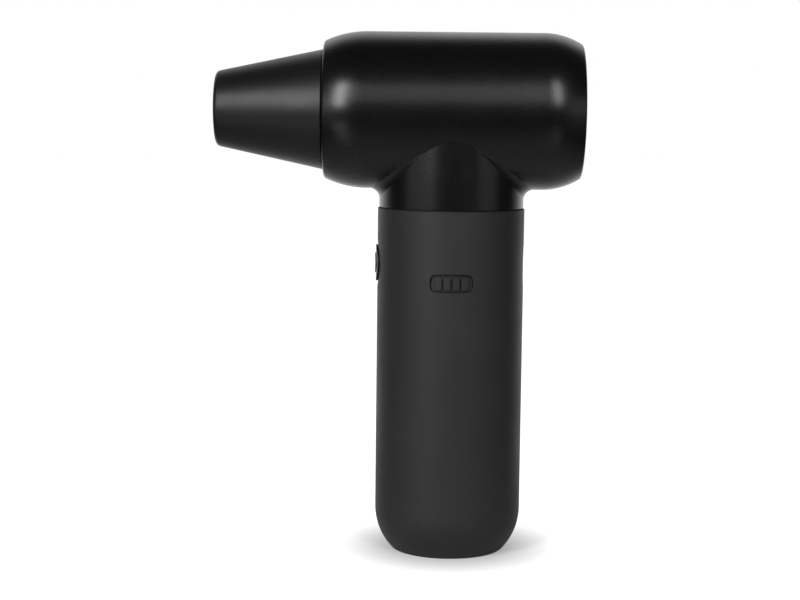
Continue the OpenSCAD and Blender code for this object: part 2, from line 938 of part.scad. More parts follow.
module bearing_balls() {
    color(nickel)
        on_axis()
            for (x = [front_bearing_x, rear_bearing_x], i = [0:ball_count - 1])
                rotate(360 * i / ball_count)
                    translate([ball_ring_r, 0, x + bearing_w / 2])
                        sphere(r = ball_r);
}

module rotor_shaft() {
    color(steel)
        on_axis()
            rod(shaft_r, front_bearing_x - 0.6, hub_rear + 2.4);
}

module rotor_magnet() {
    color([0.3, 0.3, 0.32])
        on_axis()
            ring(shaft_r + fit / 2, magnet_r, core_front - 0.4, core_rear + 0.4);
}

// One section of an impeller blade, on a cylinder about the axis
function blade_section(r) =
    let (
        n = 6,
        rise = (r - hub_r) / (fan_r - hub_r),
        front = hub_front + 0.9 + 0.6 * rise,
        rear = hub_rear - 0.5 - 1.6 * rise,
        half = blade_t * (1 - 0.35 * rise) / 2
    )
    concat(
        [for (i = [0:n]) blade_point(r, i / n, front, rear, -half)],
        [for (i = [n:-1:0]) blade_point(r, i / n, front, rear, half)]
    );

// A point of that section: u runs from the front edge to the rear edge
function blade_point(r, u, front, rear, side) =
    let (
        camber = u + 0.35 * u * (1 - u),
        thick = side * (0.3 + 0.7 * sin(180 * pow(u, 0.8))),
        a = blade_sweep * camber + thick * 1.3 / r * 180 / PI
    )
    [r * cos(a), r * sin(a), front + (rear - front) * u];

module impeller() {
    root_r = hub_r - 0.6;
    sections = 5;
    blade = [for (k = [0:sections - 1])
        for (p = blade_section(root_r + (fan_r - root_r) * k / (sections - 1))) p];
    color([0.14, 0.14, 0.15])
        on_axis() {
            rotate_extrude()
                polygon(concat(
                    [
                        [shaft_r + fit / 2, hub_front + 0.6],
                        [hub_r - 1.4, hub_front + 0.6],
                        [hub_r - 1.4, hub_front],
                        [hub_r, hub_front]
                    ],
                    arc_points([hub_r - 3, hub_rear - 3], 3, 0, 90, 8),
                    [[shaft_r + fit / 2, hub_rear]]
                ));
            for (i = [0:blade_count - 1])
                rotate(360 * i / blade_count)
                    polyhedron(points = blade, faces = loft_faces(sections, 14), convexity = 3);
        }
}

// Domed nut that holds the impeller on its shaft
module impeller_nut() {
    skirt = 1.6;
    bore = 2.5;
    color(steel)
        on_axis()
            rotate_extrude()
                polygon(concat(
                    [[shaft_r + fit / 2, hub_rear], [nut_r, hub_rear], [nut_r, hub_rear + skirt]],
                    [for (i = [1:8]) [
                        nut_r * cos(90 * i / 8),
                        hub_rear + skirt + (nose_len - skirt) * sin(90 * i / 8)
                    ]],
                    [[0, hub_rear + bore], [shaft_r + fit / 2, hub_rear + bore]]
                ));
}

// Three leads from the motor down to the connector on the main board
module phase_leads() {
    bend_z = axis_z - lead_drop - lead_bend;
    color(copper)
        for (i = [-1:1])
            translate([0, i * lead_pitch, 0]) {
                translate([lead_x + lead_bend, 0, axis_z - lead_drop])
                    rotate([0, 90, 0])
                        cylinder(r = lead_r, h = end_cap_front - lead_x - lead_bend, $fn = 32);
                translate([lead_x + lead_bend, 0, bend_z])
                    rotate([90, 0, 0])
                        rotate([0, 0, 90])
                            rotate_extrude(angle = 90, $fn = 64)
                                translate([lead_bend, 0])
                                    circle(r = lead_r, $fn = 32);
                translate([lead_x, 0, board_top + connector_h])
                    cylinder(r = lead_r, h = bend_z - board_top - connector_h, $fn = 32);
            }
}

module motor_connector() {
    color([0.9, 0.9, 0.86])
        translate([lead_x - connector_l / 2, -connector_w / 2, board_top])
            cube([connector_l, connector_w, connector_h]);
}

// ---------------------------------------------------------------- nozzle

module nozzle() {
    face = -head_front - nozzle_stand;
    tip = -head_front - nozzle_len;
    base_r = nozzle_base_d / 2;
    tip_r = nozzle_tip_d / 2;
    slope = atan2(base_r - tip_r, nozzle_len);
    mouth_r = mouth_d / 2;
    bell = tip + nozzle_lip_r + mouth_land;
    lip = [tip_r + nozzle_lip_r * (tan(slope) - 1 / cos(slope)), tip + nozzle_lip_r];
    plug_end = -head_front + nozzle_plug_len;
    groove_r = collar_in_r - o_ring_d - 2 * seal_gap;
    color(shell_black)
        on_axis()
            rotate_extrude()
                difference() {
                    polygon(concat(
                        [
                            [throat_r, plug_end],
                            [plug_nozzle_r - 0.5, plug_end],
                            [plug_nozzle_r, plug_end - 0.5],
                            [plug_nozzle_r, face],
                            [base_r - 0.5, face],
                            [base_r - 0.1, face - 0.3]
                        ],
                        arc_points(lip, nozzle_lip_r, -slope, -90, 10),
                        [
                            [mouth_r + 0.5, tip],
                            [mouth_r, tip + 0.5],
                            [mouth_r, bell],
                            [throat_r, throat_x]
                        ]
                    ));
                    translate([groove_r, groove_x - o_ring_d / 2 - slide])
                        square([o_ring_d, o_ring_d + 2 * slide]);
                }
}

module nozzle_o_ring() {
    color(rubber_black)
        on_axis()
            rotate_extrude()
                translate([collar_in_r - seal_gap - o_ring_d / 2, groove_x])
                    circle(r = o_ring_d / 2, $fn = 32);
}

// ---------------------------------------------------------------- grip

// Solid form of the grip, moved in by a wall and up by a floor
module grip_form(wall, floor_t) {
    points = wall == 0
        ? end_points(grip_r, base_round_r, base_round_h, base_corner_r)
        : inner_end_points(grip_r, base_round_r, base_round_h, wall, floor_t);
    top = wall == 0 ? grip_h : grip_h + over;
    rotate_extrude()
        polygon(concat([[0, floor_t]], reversed(points), [[grip_r - wall, top], [0, top]]));
}

// Outline of one bar of the gauge
module bar_outline(gap) {
    soft_rect(bar_w + 2 * gap, bar_h + 2 * gap, bar_corner_r + gap);
}

// Places children at each bar of the gauge
module each_bar() {
    for (i = [0:bar_count - 1])
        translate([(i - (bar_count - 1) / 2) * bar_pitch, 0, 0])
            children();
}

// Cutter of the gauge recess, wider towards the surface of the grip
module gauge_cutter() {
    out = 0.1;             // how far it ends outside the grip
    less = 2 * gauge_flare * (gauge_cut_l - out);
    w = gauge_w - less;
    h = gauge_h - less;
    more = 2 * gauge_flare * gauge_cut_l;
    translate([0, 0, grip_r + out - gauge_cut_l])
        linear_extrude(gauge_cut_l, scale = [(w + more) / w, (h + more) / h], slices = 1)
            soft_rect(w, h, gauge_corner_r, $fn = 32);
}

module grip_sleeve() {
    color(grip_grey)
        difference() {
            grip_form(0, 0);
            grip_form(grip_wall, grip_floor);
            // groove for the snap bead of the neck
            ring(grip_in_r - over, grip_in_r + bead_h, bead_z - bead_w / 2, bead_z + bead_w / 2);
            // button hole with a scooped edge
            at_front(button_z) rod(ring_r + slide, grip_in_r / 2, grip_r + over);
            at_front(button_z) translate([0, 0, grip_r - scoop_depth])
                cylinder(r1 = ring_r + slide, r2 = ring_r + slide + scoop_reach * scoop_w,
                    h = scoop_reach * scoop_depth);
            // recess of the gauge
            intersection() {
                ring(gauge_floor_r, grip_r + over, gauge_z - gauge_h, gauge_z + gauge_h);
                at_side(gauge_z) gauge_cutter();
            }
            // slots for the bars
            at_side(gauge_z) each_bar()
                translate([0, 0, grip_in_r / 2])
                    linear_extrude(grip_r) bar_outline(fit);
            // window for the charging port
            at_rear(port_z)
                translate([0, 0, grip_in_r / 2])
                    linear_extrude(grip_r)
                        port_outline(port_wall + fit);
        }
}

module grip_seal() {
    color(rubber_black)
        ring(plug_r + fit / 2, grip_r - 0.9, grip_h, seam_z);
}

// Frame that carries the boards above the battery pack
module grip_chassis() {
    color(frame_grey)
        difference() {
            union() {
                // floor disc on a skirt that stands on the pack
                ring(0, chassis_r, disc_z, disc_top);
                ring(pack_board_r + loose, chassis_r, holder_top, disc_z + disc_t / 2);
                // back of the frame: an arc, a web and two cheeks
                translate([0, 0, disc_z])
                    linear_extrude(chassis_top - disc_z) {
                        intersection() {
                            difference() {
                                circle(r = chassis_r);
                                circle(r = chassis_r - chassis_wall);
                            }
                            translate([-grip_r, arc_y])
                                square([grip_d, grip_r]);
                        }
                        translate([-cheek_x, web_y])
                            square([2 * cheek_x, chassis_wall]);
                        for (s = [-1, 1])
                            translate([s * cheek_x - chassis_wall / 2, web_y])
                                square([chassis_wall, cheek_len]);
                    }
                // bosses for the main board
                for (x = [-boss_x, boss_x], z = boss_zs)
                    translate([x, web_y + boss_root, z])
                        rotate([90, 0, 0])
                            cylinder(r = boss_r, h = web_y + boss_root - board_t / 2);
                // posts for the gauge board
                for (s = [-1, 1])
                    translate([s * (gauge_w / 2 + 1.5) - post_w / 2,
                        -gauge_board_y + gauge_board_t, disc_z])
                        cube([post_w, post_w, gauge_z + gauge_h / 2 + 1.6 - disc_z]);
            }
            // passages for the battery leads
            for (x = [-lead_pair_x, lead_pair_x])
                translate([x, 0, 0])
                    rod(battery_lead_r + 0.5, disc_z - over, disc_top + over);
            // screw holes
            each_pack_screw() rod(screw_r + fit, holder_top - over, disc_top + over);
            for (x = [-boss_x, boss_x], z = boss_zs)
                translate([x, web_y + over * 3, z])
                    rotate([90, 0, 0])
                        cylinder(r = screw_r + fit, h = web_y + over * 3);
        }
}

// ---------------------------------------------------------------- battery pack

// Places children at each cell
module each_cell() {
    for (a = third_turns)
        rotate(a)
            translate([cell_ring_r, 0, 0])
                children();
}

// Places children at each screw that holds the chassis on the pack
module each_pack_screw() {
    for (a = third_turns)
        rotate(a)
            translate([pack_screw_r, 0, 0])
                children();
}

// Outline round the ends of the cells
module holder_outline() {
    intersection() {
        circle(r = holder_r);
        union() {
            circle(r = cell_ring_r);
            each_cell() circle(r = cell_r + holder_wall);
        }
    }
}

module cell_holder_lower() {
    color(frame_grey)
        difference() {
            union() {
                intersection() {
                    translate([0, 0, cell_z - link_t - holder_t])
                        linear_extrude(holder_t + link_t + holder_lap)
                            holder_outline();
                    grip_form(grip_wall + loose, grip_floor);
                }
                // ring foot and middle post on the floor of the grip
                ring(foot_r - foot_t, foot_r, grip_floor, cell_z - link_t);
                rod(foot_t * 1.25, grip_floor, cell_z - link_t);
            }
            each_cell() rod(cell_r + slide, cell_z - link_t, cell_z + holder_lap + over);
            rod(hole_r, cell_z - link_t, cell_z + holder_lap + over);
        }
}

module cell_holder_upper() {
    color(frame_grey)
        difference() {
            union() {
                translate([0, 0, cell_top - holder_lap])
                    linear_extrude(holder_top - cell_top + holder_lap)
                        holder_outline();
                ring(pack_board_r, chassis_r, holder_top - holder_t, holder_top);
            }
            each_cell() rod(cell_r + slide, cell_top - holder_lap - over, cell_top + link_t);
            rod(hole_r, cell_top - holder_lap - over, cell_top + link_t);
            // round windows over the cell ends
            each_cell() rod(3, cell_top, holder_top + over);
            each_pack_screw() rod(screw_r + fit, holder_top - holder_t - over, holder_top + over);
        }
}

module battery_cells() {
    edge_r = 0.6;
    color(cell_blue)
        each_cell()
            rotate_extrude()
                polygon(concat(
                    [[0, cell_z]],
                    arc_points([cell_r - edge_r, cell_z + edge_r], edge_r, -90, 0, 4),
                    [
                        [cell_r, can_top - 3.2],
                        [cell_r - can_bead, can_top - 2.8],
                        [cell_r - can_bead, can_top - 2.4],
                        [cell_r, can_top - 2],
                        [cell_r, can_top],
                        [0, can_top]
                    ]
                ));
}

// Middle of a cell
function cell_at(i) = cell_ring_r * [cos(third_turns[i]), sin(third_turns[i])];

// Nickel strip between the middles of two cells
module link(i, j, z, t) {
    d = cell_at(j) - cell_at(i);
    tab(i, z, t);
    tab(j, z, t);
    translate([cell_at(i)[0], cell_at(i)[1], z])
        rotate(atan2(d[1], d[0]))
            translate([0, -link_w / 2, 0])
                cube([norm(d), link_w, t]);
}

// Round nickel tab on one cell
module tab(i, z, t) {
    translate([cell_at(i)[0], cell_at(i)[1], z])
        cylinder(r = link_r, h = t);
}

// The cells are joined in a row: one link below, one above, and a tab at each free end
module cell_links() {
    above = cell_top + link_t - can_top;
    color(nickel) {
        link(0, 1, cell_z - link_t, link_t);
        tab(2, cell_z - link_t, link_t);
        link(1, 2, can_top, above);
        tab(0, can_top, above);
    }
}

module battery_board() {
    color(board_green)
        difference() {
            rod(pack_board_r, holder_top, pack_board_top);
            each_cell() rod(2, holder_top - over, pack_board_top + over);
        }
}

module battery_leads() {
    color([0.6, 0.08, 0.06])
        for (x = [-lead_pair_x, lead_pair_x])
            translate([x, 0, 0])
                rod(battery_lead_r, pack_board_top, board_z);
}

// ---------------------------------------------------------------- boards

module main_board() {
    color(board_green)
        difference() {
            translate([-board_w / 2, -board_t / 2, board_z])
                cube([board_w, board_t, board_l]);
            // notches for the switch and the charging socket
            translate([-board_w / 2 - over, -board_t, button_z - switch_l / 2 - slide])
                cube([over + board_w / 2 - switch_face_x + switch_t + slide, board_t * 2,
                    switch_l + 2 * slide]);
            translate([socket_x - 0.5, -board_t, port_z - socket_w / 2 - slide])
                cube([board_w / 2 - socket_x + 0.5 + over, board_t * 2, socket_w + 2 * slide]);
            for (x = [-boss_x, boss_x], z = boss_zs)
                translate([x, board_t, z])
                    rotate([90, 0, 0])
                        cylinder(r = screw_r + fit, h = board_t * 2);
        }
}

// A flat part on the face of the main board: its corner, size and height
module on_board(x, z, size, t) {
    translate([x, -board_t / 2 - t, z])
        cube([size, t, size]);
}

// Controller, driver transistors and inductor on the face of the main board
module board_parts() {
    chip = 5.2;
    driver = 3.4;
    driver_pitch = [4.6, 4.4];
    coil = 4.8;
    color([0.12, 0.12, 0.12]) {
        on_board(-chip / 2, board_top - 17.1, chip, 0.9);
        for (i = [0:2], j = [0:1])
            on_board(-7.8 + i * driver_pitch[0], board_top - 10.1 + j * driver_pitch[1],
                driver, 1);
    }
    color(steel)
        on_board(3, board_z + 2, coil, 2);
}

// Can capacitor lying against the main board in a drop of glue
module board_capacitor() {
    can_r = 3.15;
    can_l = 8;
    glue_w = 2;
    color([0.2, 0.22, 0.35]) {
        translate([-can_r - 2.25, -board_t / 2 - can_r - fit, board_z + 1])
            cylinder(r = can_r, h = can_l);
        translate([-can_r - 2.25 - glue_w / 2, -board_t / 2 - glue_w, board_z + 1])
            cube([glue_w, glue_w, can_l]);
    }
}

module screw(length) {
    rod(screw_r, -length, 0);
    rotate_extrude()
        polygon([
            [0, 0], [screw_head_r, 0], [screw_head_r, 0.5], [screw_head_r - 0.4, screw_head_t],
            [0.6, screw_head_t], [0.6, 0.4], [0, 0.4]
        ]);
}

module board_screws() {
    color(steel)
        for (x = [-boss_x, boss_x], z = boss_zs)
            translate([x, -board_t / 2, z])
                rotate([90, 0, 0])
                    screw(board_t / 2 + web_y);
}

module pack_screws() {
    color(steel)
        each_pack_screw()
            translate([0, 0, disc_top])
                screw(disc_top - holder_top + holder_t);
}

// ---------------------------------------------------------------- charging port

module usb_receptacle() {
    color(steel)
        at_rear(port_z) {
            difference() {
                translate([0, 0, socket_x])
                    linear_extrude(socket_len)
                        stadium(socket_w, socket_h);
                translate([0, 0, socket_x + socket_back])
                    linear_extrude(socket_len)
                        stadium(socket_w - 2 * socket_wall, socket_h - 2 * socket_wall);
            }
            // contact tongue
            translate([-tongue_w / 2, -tongue_t / 2, socket_x + socket_back - 0.2])
                cube([tongue_w, tongue_t, tongue_len]);
        }
}

// Outline of the port pocket, grown by a rim
module port_outline(rim) {
    stadium(port_h + 2 * rim, port_w + 2 * rim);
}

// Pocket in the grip wall that guides the charging plug
module port_bezel() {
    color(gloss_black)
        difference() {
            intersection() {
                ring(0, grip_r - fit, port_z - port_h, port_z + port_h);
                at_rear(port_z) union() {
                    translate([0, 0, port_floor_x - port_floor_t])
                        linear_extrude(grip_r)
                            port_outline(port_wall);
                    translate([0, 0, port_floor_x - port_floor_t])
                        linear_extrude(port_floor_t)
                            port_outline(port_wall + port_flange);
                }
            }
            at_rear(port_z) translate([0, 0, port_floor_x])
                linear_extrude(grip_r)
                    port_outline(0);
            at_rear(port_z) translate([0, 0, port_floor_x - port_floor_t - over])
                linear_extrude(port_floor_t + 2 * over)
                    stadium(socket_w + 2 * fit, socket_h + 2 * fit);
        }
}

// ---------------------------------------------------------------- button

module tact_switch() {
    color([0.85, 0.85, 0.82])
        difference() {
            at_front(button_z)
                translate([-switch_l / 2, -switch_w / 2, switch_face_x - switch_t])
                    cube([switch_l, switch_w, switch_t]);
            at_front(button_z)
                rod(plunger_r + fit, switch_face_x - plunger_depth, switch_face_x + over);
        }
}

module switch_plunger() {
    color([0.8, 0.3, 0.1])
        at_front(button_z)
            rod(plunger_r, switch_face_x - plunger_depth + button_travel + slide,
                cap_face_x - cap_t - cap_flange_t);
}

module button_bezel() {
    back = sqrt(pow(grip_in_r, 2) - pow(ring_r + ring_flange, 2)) - fit - ring_flange_t;
    color(gloss_black)
        difference() {
            intersection() {
                rod(grip_r + button_ring_proud, button_z - ring_r - over,
                    button_z + ring_r + over);
                at_front(button_z) {
                    rod(ring_r, back, grip_r + over);
                    rod(ring_r + ring_flange, back, back + ring_flange_t);
                }
            }
            at_front(button_z) rod(cap_r + slide, back - over, grip_r + 2 * over);
            at_front(button_z) rod(cap_flange_r + slide, back - over, cap_face_x - cap_t + fit);
        }
}

module button_cap() {
    root = cap_face_x - cap_t - cap_flange_t / 2;
    top = cap_face_x + cap_crown;
    edge = arc_points([cap_r - cap_edge_r, top - cap_edge_r], cap_edge_r, 0, 90, arc_steps / 2);
    color(grip_grey)
        at_front(button_z) {
            intersection() {
                rotate_extrude() polygon(concat([[0, root], [cap_r, root]], edge, [[0, top]]));
                rotate([0, 90, 0])
                    rod(cap_face_x, -cap_r - over, cap_r + over);
            }
            rod(cap_flange_r, cap_face_x - cap_t - cap_flange_t, cap_face_x - cap_t);
        }
}

// ---------------------------------------------------------------- gauge

// Light guide with one raised bar for each charge step
module gauge_lens() {
    color([0.2, 0.2, 0.2]) {
        intersection() {
            rod(grip_r - bar_sunk, gauge_z - gauge_h, gauge_z + gauge_h);
            at_side(gauge_z) each_bar()
                translate([0, 0, lens_y - lens_t / 2])
                    linear_extrude(grip_r) bar_outline(0);
        }
        at_side(gauge_z)
            translate([0, 0, lens_y - lens_t])
                linear_extrude(lens_t)
                    soft_rect(gauge_w + 2 * lens_rim, gauge_h + 1.6, 1);
    }
}

module gauge_board() {
    color(board_green)
        at_side(gauge_z)
            translate([0, 0, gauge_board_y - gauge_board_t])
                linear_extrude(gauge_board_t)
                    soft_rect(gauge_w + 2 * gauge_board_side, gauge_h + 3, 0.8);
}

module gauge_leds() {
    color([0.9, 0.9, 0.8])
        at_side(gauge_z) each_bar()
            translate([-led_w / 2, -led_h / 2, gauge_board_y])
                cube([led_w, led_h, led_t]);
}

// Flat lead from the gauge board to the main board
module gauge_lead() {
    span = gauge_board_y - gauge_board_t - board_t / 2;
    sag = 1.6;
    steps = 10;
    t = 0.35;
    w = 4;
    line = [for (i = [0:steps]) [
        -board_t / 2 - span * i / steps,
        gauge_z - gauge_lead_drop - sag * sin(180 * i / steps)
    ]];
    color([0.75, 0.6, 0.3])
        translate([-w / 2, 0, 0])
            rotate([90, 0, 90])
                linear_extrude(w)
                    polygon(concat(line, reversed([for (p = line) p + [0, t]])));
}

// ---------------------------------------------------------------- parts

head_housing();
front_collar();
rear_cover();
intake_grille();
outlet_duct();
fan_shroud();
mount_ring_front();
mount_ring_rear();
tail_cone();
motor_end_cap();
stator_core();
stator_windings();
bearing_outer_races();
bearing_balls();
bearing_inner_races();
rotor_shaft();
rotor_magnet();
impeller();
impeller_nut();
phase_leads();
motor_connector();
nozzle();
nozzle_o_ring();
grip_sleeve();
grip_seal();
grip_chassis();
cell_holder_lower();
cell_holder_upper();
battery_cells();
cell_links();
battery_board();
battery_leads();
main_board();
board_parts();
board_capacitor();
board_screws();
pack_screws();
usb_receptacle();
port_bezel();
tact_switch();
switch_plunger();
button_bezel();
button_cap();
gauge_lens();
gauge_board();
gauge_leds();
gauge_lead();
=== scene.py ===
import json
import math

import bpy
from mathutils import Matrix, Vector

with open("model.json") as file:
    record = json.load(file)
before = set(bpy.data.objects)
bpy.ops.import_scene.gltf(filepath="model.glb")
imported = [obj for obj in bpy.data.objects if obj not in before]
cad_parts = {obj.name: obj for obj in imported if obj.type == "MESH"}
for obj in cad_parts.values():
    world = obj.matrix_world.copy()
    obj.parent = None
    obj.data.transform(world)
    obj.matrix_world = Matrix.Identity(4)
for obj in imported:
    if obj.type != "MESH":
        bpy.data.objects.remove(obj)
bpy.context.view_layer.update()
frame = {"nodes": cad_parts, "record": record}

# The CAD nodes keep their shapes and places. This script gives them their
# materials and sets the lamps, the floor, the world and the camera round them.

# ---------------------------------------------------------------- camera
# Metres, and radians where an angle is stored.

LENS_MM = 78.74
SENSOR_MM = 36.0                     # width
CLIP_NEAR = 0.01
CLIP_FAR = 20.0
CAMERA_DISTANCE = 0.5773             # from the centre of the view
CAMERA_PITCH = math.radians(6.359)   # how far the camera looks down
CAMERA_YAW = math.radians(-0.641)    # turned a little towards -X
CAMERA_ROLL = math.radians(0.629)    # the picture leans clockwise
VIEW_CENTRE = Vector((-0.01644, 0.0, 0.08236))


def add_camera():
    """The camera looks along +Y, a little down, at the centre of the view."""
    forward = Vector((
        math.sin(CAMERA_YAW) * math.cos(CAMERA_PITCH),
        math.cos(CAMERA_YAW) * math.cos(CAMERA_PITCH),
        -math.sin(CAMERA_PITCH)))
    right = forward.cross(Vector((0, 0, 1))).normalized()
    up = right.cross(forward)
    c, s = math.cos(CAMERA_ROLL), math.sin(CAMERA_ROLL)
    right, up = c * right + s * up, -s * right + c * up
    data = bpy.data.cameras.new("camera")
    data.lens = LENS_MM
    data.sensor_width = SENSOR_MM
    data.sensor_fit = "HORIZONTAL"
    data.clip_start = CLIP_NEAR
    data.clip_end = CLIP_FAR
    camera = bpy.data.objects.new("camera", data)
    turn = Matrix((right, up, -forward)).transposed().to_4x4()
    place = Matrix.Translation(VIEW_CENTRE - forward * CAMERA_DISTANCE)
    camera.matrix_world = place @ turn
    bpy.context.scene.collection.objects.link(camera)
    bpy.context.scene.camera = camera


# ---------------------------------------------------------------- materials
# A noise is its scale per metre, its detail and its roughness, and a bump is
# its strength and its depth in metres.

NOISE_SPAN = (0.3, 0.7)            # the part of a noise that is mapped to a range

PLASTIC_CLOUDS = (45.0, 4.0, 0.6)  # a moulding's slow change of colour and gloss
PLASTIC_GRAIN = (2.0, 0.6)         # detail and roughness: the scale is the slot's
PLASTIC_BUMP = 1.0                 # strength: the depth is the slot's
PLASTIC_COLOUR_SPREAD = 0.12
PLASTIC_ROUGH_SPREAD = 0.05
PLASTIC_SPECULAR = 0.5

METAL_MARKS = (900.0, 3.0, 0.6)    # tooling marks
METAL_BUMP = (0.6, 4e-6)
METAL_DARK = 0.82                  # share of the colour in the darkest marks
METAL_ROUGH_SPREAD = 0.07

INNER_CLOUDS = (220.0, 4.0, 0.6)
INNER_BUMP = (0.3, 1e-5)
INNER_COLOUR_SPREAD = 0.15
INNER_ROUGH_SPREAD = 0.06

# Moulded pieces: grey from 0 to 255, roughness, scale and depth of the grain.
PLASTICS = {
    "head_shell": dict(value=8, rough=0.27, grain=3800, depth=3e-6,
                       specular=0.33, rough_spread=0.03),
    "nozzle_plastic": dict(value=14, rough=0.41, grain=3800, depth=3e-6, specular=0.31),
    "grip_soft": dict(value=31, rough=0.55, grain=5200, depth=5e-6, specular=0.34),
    "cover_plastic": dict(value=18, rough=0.4, grain=3000, depth=6e-6),
    "grille_plastic": dict(value=20, rough=0.38, grain=2600, depth=6e-6),
    "gloss_trim": dict(value=5, rough=0.38, grain=1500, depth=1e-6, specular=0.15),
    "button_plastic": dict(value=40, rough=0.35, grain=3600, depth=4e-6),
    "gauge_resin": dict(value=31, rough=0.55, grain=5200, depth=5e-6, specular=0.34),
    "frame_plastic": dict(value=38, rough=0.5, grain=2400, depth=8e-6),
    "seal_rubber": dict(value=16, rough=0.7, grain=2000, depth=1e-5, specular=0.3),
    "chip_resin": dict(value=28, rough=0.55, grain=3000, depth=6e-6),
    "connector_nylon": dict(value=215, rough=0.45, grain=1800, depth=6e-6),
}

# Metals: linear colour and roughness. A stretch draws the marks out.
METALS = {
    "fan_alloy": dict(colour=(0.42, 0.43, 0.45), rough=0.42),
    "impeller_alloy": dict(colour=(0.3, 0.31, 0.33), rough=0.35),
    "core_steel": dict(colour=(0.33, 0.33, 0.34), rough=0.4, stretch=(6, 1, 1)),
    "bearing_steel": dict(colour=(0.62, 0.63, 0.65), rough=0.22),
    "screw_steel": dict(colour=(0.3, 0.3, 0.31), rough=0.35),
    "socket_steel": dict(colour=(0.58, 0.59, 0.6), rough=0.3),
    "copper_wire": dict(colour=(0.68, 0.33, 0.14), rough=0.35),
    "nickel_strip": dict(colour=(0.64, 0.61, 0.54), rough=0.35),
}

# Coloured inner pieces: linear colour and roughness.
INNER = {
    "cell_wrap": dict(colour=(0.03, 0.1, 0.28), rough=0.3),
    "board_laminate": dict(colour=(0.01, 0.1, 0.045), rough=0.35),
    "lead_jacket": dict(colour=(0.35, 0.03, 0.02), rough=0.5),
}


def grey(value):
    """The linear colour of an sRGB grey given as 0 to 255."""
    v = value / 255
    v = v / 12.92 if v <= 0.04045 else ((v + 0.055) / 1.055) ** 2.4
    return (v, v, v)


def scaled(colour, share):
    """A share of a linear colour, as the four numbers that a socket takes."""
    return tuple(c * share for c in colour) + (1.0,)


def map_range(tree, value, span, low, high, kind="SMOOTHSTEP"):
    """Goes from low to high while the value runs over the span."""
    node = tree.nodes.new("ShaderNodeMapRange")
    node.interpolation_type = kind
    node.inputs["From Min"].default_value, node.inputs["From Max"].default_value = span
    node.inputs["To Min"].default_value = low
    node.inputs["To Max"].default_value = high
    tree.links.new(value, node.inputs["Value"])
    return node.outputs["Result"]


def combine(tree, operation, a, b):
    """One sum, product, quotient or larger value of two outputs."""
    node = tree.nodes.new("ShaderNodeMath")
    node.operation = operation
    tree.links.new(a, node.inputs[0])
    tree.links.new(b, node.inputs[1])
    return node.outputs["Value"]


class Shader:
    """A small helper that adds and joins the nodes of one material."""

    def __init__(self, name):
        self.material = bpy.data.materials.new(name)
        self.material.use_nodes = True
        self.tree = self.material.node_tree
        self.bsdf = self.tree.nodes["Principled BSDF"]
        self.place = self.add("ShaderNodeTexCoord").outputs["Object"]

    def add(self, kind, **settings):
        node = self.tree.nodes.new(kind)
        for key, value in settings.items():
            setattr(node, key, value)
        return node

    def join(self, a, b):
        self.tree.links.new(a, b)

    def noise(self, scale, detail, rough, stretch=None):
        source = self.place
        if stretch:
            mapping = self.add("ShaderNodeMapping")
            mapping.inputs["Scale"].default_value = stretch
            self.join(source, mapping.inputs["Vector"])
            source = mapping.outputs["Vector"]
        node = self.add("ShaderNodeTexNoise")
        node.inputs["Scale"].default_value = scale
        node.inputs["Detail"].default_value = detail
        node.inputs["Roughness"].default_value = rough
        self.join(source, node.inputs["Vector"])
        return node.outputs["Fac"]

    def spread(self, fac, low, high):
        """Maps a noise to a range of numbers."""
        return map_range(self.tree, fac, NOISE_SPAN, low, high, "LINEAR")

    def tint(self, fac, dark, light):
        """Mixes two colours by a noise."""
        node = self.add("ShaderNodeMix", data_type="RGBA")
        node.inputs["A"].default_value = dark
        node.inputs["B"].default_value = light
        self.join(self.spread(fac, 0.0, 1.0), node.inputs["Factor"])
        return node.outputs["Result"]

    def bump(self, height, strength, depth):
        node = self.add("ShaderNodeBump")
        node.inputs["Strength"].default_value = strength
        node.inputs["Distance"].default_value = depth
        self.join(height, node.inputs["Height"])
        return node.outputs["Normal"]

    def dress(self, fac, dark, light, rough, rough_spread, normal):
        """Colour and gloss that change with one noise, over a bump."""
        self.join(self.tint(fac, dark, light), self.bsdf.inputs["Base Color"])
        self.join(self.spread(fac, rough - rough_spread, rough + rough_spread),
                  self.bsdf.inputs["Roughness"])
        self.join(normal, self.bsdf.inputs["Normal"])


def plastic(name, value, rough, grain, depth, specular=PLASTIC_SPECULAR,
            rough_spread=PLASTIC_ROUGH_SPREAD):
    """Moulded plastic: fine grain, slow change of gloss and a faint change of colour."""
    s = Shader(name)
    colour = grey(value)
    clouds = s.noise(*PLASTIC_CLOUDS)
    fine = s.noise(grain, *PLASTIC_GRAIN)
    s.dress(clouds, scaled(colour, 1 - PLASTIC_COLOUR_SPREAD),
            scaled(colour, 1 + PLASTIC_COLOUR_SPREAD), rough, rough_spread,
            s.bump(fine, PLASTIC_BUMP, depth))
    s.bsdf.inputs["Specular IOR Level"].default_value = specular
    return s.material


def metal(name, colour, rough, stretch=None):
    """Metal with fine tooling marks."""
    s = Shader(name)
    marks = s.noise(*METAL_MARKS, stretch)
    s.dress(marks, scaled(colour, METAL_DARK), scaled(colour, 1.0), rough,
            METAL_ROUGH_SPREAD, s.bump(marks, *METAL_BUMP))
    s.bsdf.inputs["Metallic"].default_value = 1.0
    return s.material


def tinted(name, colour, rough):
    """A coloured inner piece, such as a board, a jacket or a wrap."""
    s = Shader(name)
    clouds = s.noise(*INNER_CLOUDS)
    s.dress(clouds, scaled(colour, 1 - INNER_COLOUR_SPREAD),
            scaled(colour, 1 + INNER_COLOUR_SPREAD), rough, INNER_ROUGH_SPREAD,
            s.bump(clouds, *INNER_BUMP))
    return s.material


def make_materials():
    """One material for each slot of the record."""
    return {slot: make(slot, **look)
            for make, looks in ((plastic, PLASTICS), (metal, METALS), (tinted, INNER))
            for slot, look in looks.items()}


